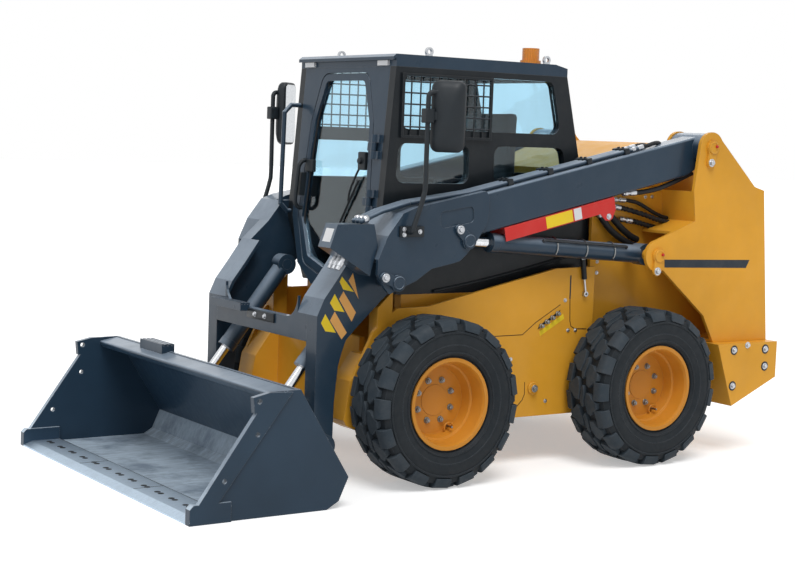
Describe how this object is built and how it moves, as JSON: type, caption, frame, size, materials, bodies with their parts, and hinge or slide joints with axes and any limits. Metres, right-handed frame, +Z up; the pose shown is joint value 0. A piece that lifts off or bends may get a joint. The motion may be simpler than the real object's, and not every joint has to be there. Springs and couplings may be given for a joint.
{
  "type": "skid steer loader",
  "caption": "Wheeled skid steer loader with a closed cab, lift arms on rear towers, hydraulic cylinders and a low-profile bucket on a hitch.",
  "frame": {"origin": "on the ground under the middle of the whole machine's box", "axes": "+X forward, +Y to the machine's left, +Z up"},
  "size_m": [3.683, 1.954, 2.159],
  "materials": {
    "ochre_paint": "semi-gloss ochre paint",
    "slate_paint": "satin slate blue-grey paint",
    "black_paint": "satin black paint",
    "black_plastic": "matt black plastic",
    "bright_steel": "zinc plated steel",
    "chrome_rod": "polished chrome",
    "worn_steel": "bare steel worn by use",
    "tinted_glass": "green tinted glass",
    "tyre_rubber": "black rubber",
    "cast_iron": "dark cast iron",
    "seat_vinyl": "black vinyl",
    "lamp_lens": "clear lamp lens",
    "amber_lens": "amber plastic",
    "red_paint": "red paint"
  },
  "bodies": {
    "chassis": {"main_frame": "ochre_paint", "axle_stubs": "black_paint", "left_tower": "ochre_paint", "right_tower": "ochre_paint", "tower_pins": "bright_steel", "rear_weights": "ochre_paint", "tail_beam": "ochre_paint", "engine_hood": "ochre_paint", "engine_block": "cast_iron", "cab_base": "black_paint", "left_cab_side": "black_paint", "right_cab_side": "black_paint", "cab_rear": "black_paint", "cab_front": "black_paint", "cab_roof": "slate_paint", "side_panes": "tinted_glass", "rear_pane": "tinted_glass", "window_guards": "black_paint", "seat": "seat_vinyl", "control_levers": "black_plastic", "roof_lamps": "lamp_lens", "beacon": "amber_lens", "lifting_eyes": "bright_steel", "grab_handle": "slate_paint"},
    "cab_door": {"door_frame": "slate_paint", "door_pane": "tinted_glass", "door_latch": "black_plastic"},
    "rear_door": {"tailgate": "slate_paint"},
    "loader_arms": {"left_arm": "slate_paint", "right_arm": "slate_paint", "cross_member": "slate_paint", "arm_pins": "bright_steel", "coupler_box": "slate_paint", "couplers": "bright_steel", "safety_bar": "red_paint", "mirrors": "black_plastic", "arm_tubes": "slate_paint"},
    "bucket": {"bucket_shell": "slate_paint", "bucket_cheeks": "slate_paint", "cutting_edge": "worn_steel", "hitch": "slate_paint"},
    "lift_barrels": {"lift_barrels": "slate_paint"},
    "lift_rods": {"lift_rods": "chrome_rod"},
    "tilt_barrels": {"tilt_barrels": "slate_paint"},
    "tilt_rods": {"tilt_rods": "chrome_rod"},
    "front_left_wheel": {"front_left_tyre": "tyre_rubber", "front_left_rim": "ochre_paint"},
    "front_right_wheel": {"front_right_tyre": "tyre_rubber", "front_right_rim": "ochre_paint"},
    "rear_left_wheel": {"rear_left_tyre": "tyre_rubber", "rear_left_rim": "ochre_paint"},
    "rear_right_wheel": {"rear_right_tyre": "tyre_rubber", "rear_right_rim": "ochre_paint"}
  },
  "joints": [
    {"name": "lift", "type": "hinge", "parent": "chassis", "child": "loader_arms", "pos_m": [-1.3415, 0, 1.674], "axis": [0, -1, 0], "range_deg": [0, 64]},
    {"name": "tilt", "type": "hinge", "parent": "loader_arms", "child": "bucket", "pos_m": [0.9315, 0, 0.2], "axis": [0, 1, 0], "range_deg": [-25, 100]},
    {"name": "door_swing", "type": "hinge", "parent": "chassis", "child": "cab_door", "pos_m": [0.58134, 0.345, 1.40122], "axis": [-0.076, 0, 0.9971], "range_deg": [0, 85]},
    {"name": "rear_door_swing", "type": "hinge", "parent": "chassis", "child": "rear_door", "pos_m": [-1.8365, -0.459, 0.62], "axis": [0.0959, 0, 0.9954], "range_deg": [0, 95]},
    {"name": "lift_barrel_swing", "type": "hinge", "parent": "chassis", "child": "lift_barrels", "pos_m": [-0.9885, 0, 1.097], "axis": [0, -1, 0], "range_deg": [-1, 64]},
    {"name": "lift_rod_slide", "type": "slide", "parent": "lift_barrels", "child": "lift_rods", "axis": [0.9977, 0, 0.0684], "range_m": [-0.002, 0.72]},
    {"name": "tilt_barrel_swing", "type": "hinge", "parent": "loader_arms", "child": "tilt_barrels", "pos_m": [0.6285, 0, 0.983], "axis": [0, 1, 0], "range_deg": [-4, 12]},
    {"name": "tilt_rod_slide", "type": "slide", "parent": "tilt_barrels", "child": "tilt_rods", "axis": [0.6124, 0, -0.7905], "range_m": [-0.1, 0.37]},
    {"name": "front_left_spin", "type": "hinge", "parent": "chassis", "child": "front_left_wheel", "pos_m": [0.4035, 0.716, 0.412], "axis": [0, 1, 0], "continuous": true},
    {"name": "front_right_spin", "type": "hinge", "parent": "chassis", "child": "front_right_wheel", "pos_m": [0.4035, -0.716, 0.412], "axis": [0, 1, 0], "continuous": true},
    {"name": "rear_left_spin", "type": "hinge", "parent": "chassis", "child": "rear_left_wheel", "pos_m": [-0.9365, 0.716, 0.412], "axis": [0, 1, 0], "continuous": true},
    {"name": "rear_right_spin", "type": "hinge", "parent": "chassis", "child": "rear_right_wheel", "pos_m": [-0.9365, -0.716, 0.412], "axis": [0, 1, 0], "continuous": true}
  ],
  "couplings": [
    {"joint": "lift_barrel_swing", "follows": "lift", "ratio": 0.97408},
    {"joint": "lift_rod_slide", "follows": "lift", "m_per_rad": 0.64057},
    {"joint": "tilt_barrel_swing", "follows": "tilt", "ratio": 0.10563},
    {"joint": "tilt_rod_slide", "follows": "tilt", "m_per_rad": 0.20371}
  ]
}
